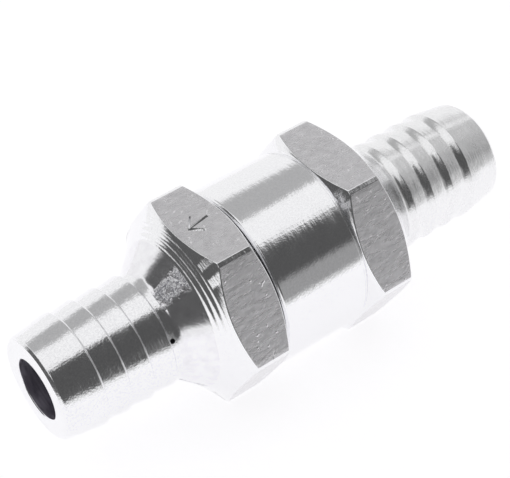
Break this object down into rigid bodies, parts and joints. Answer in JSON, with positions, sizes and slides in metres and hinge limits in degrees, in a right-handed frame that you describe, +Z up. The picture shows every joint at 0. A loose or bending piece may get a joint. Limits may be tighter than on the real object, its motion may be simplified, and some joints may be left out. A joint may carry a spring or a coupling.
{
  "type": "inline non-return valve",
  "caption": "Aluminium inline non-return valve with a hose barb at each end, two spanner hexagons and a spring-loaded poppet.",
  "frame": {"origin": "middle of the valve's length, in the plane of the two hexagon flats it lies on", "axes": "+X along the valve's axis in the direction of flow, from the inlet barb to the outlet barb; +Z up, square to the flats it lies on"},
  "size_m": [0.0582, 0.024, 0.021],
  "materials": {
    "turned_aluminium": "turned bright, with dull extruded flats on the hexagons",
    "poppet_aluminium": "turned satin",
    "spring_steel": "drawn stainless wire",
    "seal_rubber": "matt black nitrile"
  },
  "bodies": {
    "body": {"inlet_body": "turned_aluminium", "return_spring": "spring_steel"},
    "seal_carrier": {"joint_seal": "seal_rubber"},
    "fitting": {"outlet_fitting": "turned_aluminium"},
    "poppet": {"poppet": "poppet_aluminium", "poppet_seal": "seal_rubber"}
  },
  "joints": [
    {"name": "poppet_lift", "type": "slide", "parent": "body", "child": "poppet", "axis": [1, 0, 0], "range_m": [0, 0.003], "stiffness_N_per_m": 200, "springref_m": -0.002, "deforming": ["return_spring"]},
    {"name": "thread_advance", "type": "slide", "parent": "body", "child": "seal_carrier", "axis": [1, 0, 0], "range_m": [0, 0.006]},
    {"name": "thread_turn", "type": "hinge", "parent": "seal_carrier", "child": "fitting", "pos_m": [0, 0, 0.0105], "axis": [1, 0, 0], "range_deg": [0, 2160]}
  ],
  "couplings": [
    {"joint": "thread_advance", "follows": "thread_turn", "m_per_rad": 0.00015915}
  ]
}
